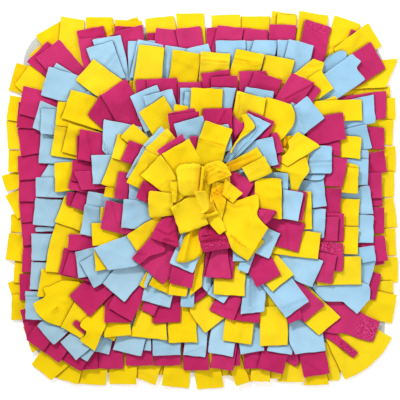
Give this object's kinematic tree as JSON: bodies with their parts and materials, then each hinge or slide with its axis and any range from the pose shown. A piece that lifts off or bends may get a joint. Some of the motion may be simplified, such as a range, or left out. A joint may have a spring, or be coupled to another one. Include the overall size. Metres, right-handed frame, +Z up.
{
  "type": "snuffle mat",
  "caption": "Rounded-square snuffle mat: fringed fleece strips in yellow, magenta and light blue sewn in rings on a base cloth round a raised centre tuft.",
  "frame": {"origin": "under the middle of the mat's outline, on the face that lies on the floor", "axes": "+Z up, away from the floor; +X along the mat's slightly longer side; +Y along its other side"},
  "size_m": [0.4497, 0.429, 0.0328],
  "materials": {
    "base_cloth": "matte pale grey woven cloth",
    "fleece_yellow": "matte fleece, cut edges",
    "fleece_magenta": "matte fleece, cut edges",
    "fleece_blue": "matte fleece, cut edges"
  },
  "bodies": {
    "root": {"base_cloth": "base_cloth", "strip_01_yellow": "fleece_yellow", "strip_02_magenta": "fleece_magenta", "strip_03_blue": "fleece_blue", "strip_04_yellow": "fleece_yellow", "strip_05_magenta": "fleece_magenta", "strip_06_blue": "fleece_blue", "strip_07_yellow": "fleece_yellow", "strip_08_magenta": "fleece_magenta", "strip_09_blue": "fleece_blue", "strip_10_yellow": "fleece_yellow", "strip_11_magenta": "fleece_magenta", "centre_tuft_yellow": "fleece_yellow"}
  },
  "joints": []
}
